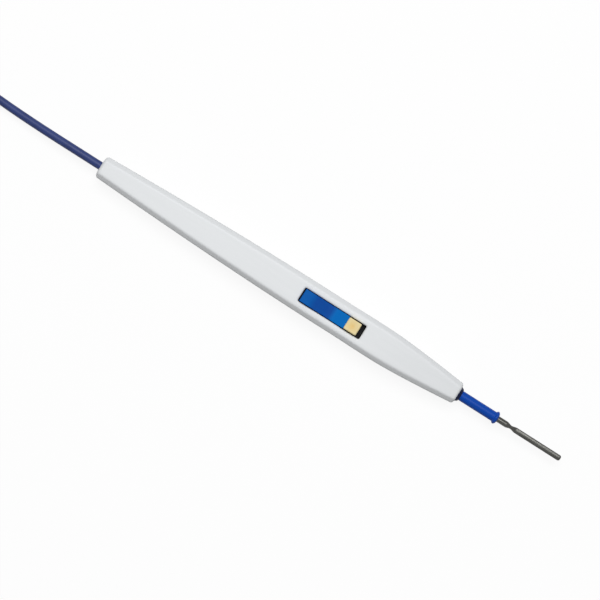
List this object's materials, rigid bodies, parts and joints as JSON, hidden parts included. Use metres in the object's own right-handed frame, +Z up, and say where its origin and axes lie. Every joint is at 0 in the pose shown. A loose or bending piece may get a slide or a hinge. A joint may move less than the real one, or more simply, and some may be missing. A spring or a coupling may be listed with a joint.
{
  "type": "electrosurgical pencil",
  "caption": "Hand-switched electrosurgical pencil: slim moulded handle, rocking switch, push-in blade electrode, and a folded, tied cable ending in a flat plug.",
  "frame": {"origin": "middle of the pencil's length and width, on the surface that its belly lies on", "axes": "+X along the handle towards the electrode's tip, +Z up through the switch"},
  "size_m": [0.481, 0.044, 0.0144],
  "materials": {
    "housing_white": "fine satin moulded",
    "rocker_blue": "smooth moulded",
    "cap_yellow": "smooth moulded",
    "seal_black": "matt silicone",
    "bushing_black": "moulded",
    "sleeve_blue": "smooth moulded",
    "electrode_steel": "drawn and flattened",
    "socket_brass": "turned",
    "board_green": "lacquered laminate",
    "dome_steel": "pressed spring metal",
    "clamp_grey": "moulded",
    "wire_red": "extruded",
    "wire_white": "extruded",
    "wire_yellow": "extruded",
    "cable_blue": "extruded jacket",
    "tie_white": "smooth band",
    "plug_blue": "moulded",
    "pin_nickel": "turned and plated"
  },
  "bodies": {
    "handle": {"upper_shell": "housing_white", "lower_shell": "housing_white", "switch_board": "board_green", "cut_dome": "dome_steel", "coag_dome": "dome_steel", "switch_seal": "seal_black", "socket_strip": "socket_brass", "nose_bushing": "bushing_black", "electrode_socket": "socket_brass", "cord_clamp": "clamp_grey", "wire_cut": "wire_yellow", "wire_active": "wire_red", "wire_coag": "wire_white", "cord_lead": "cable_blue", "cord_hank": "cable_blue", "cord_tie": "tie_white", "cord_tail": "cable_blue", "plug_body": "plug_blue", "plug_boot": "plug_blue", "plug_pin_active": "pin_nickel", "plug_pin_cut": "pin_nickel", "plug_pin_coag": "pin_nickel"},
    "rocker": {"rocker": "rocker_blue", "rocker_cap": "cap_yellow"},
    "electrode": {"electrode_blade": "electrode_steel", "electrode_sleeve": "sleeve_blue"}
  },
  "joints": [
    {"name": "rocker_tilt", "type": "hinge", "parent": "handle", "child": "rocker", "pos_m": [-0.0003, 0, 0.0096], "axis": [0, 1, 0], "range_deg": [-3, 3], "stiffness_Nm_per_rad": 0.3, "deforming": ["cut_dome", "coag_dome", "switch_seal"]},
    {"name": "electrode_slide", "type": "slide", "parent": "handle", "child": "electrode", "axis": [1, 0, 0], "range_m": [0, 0.03]}
  ]
}
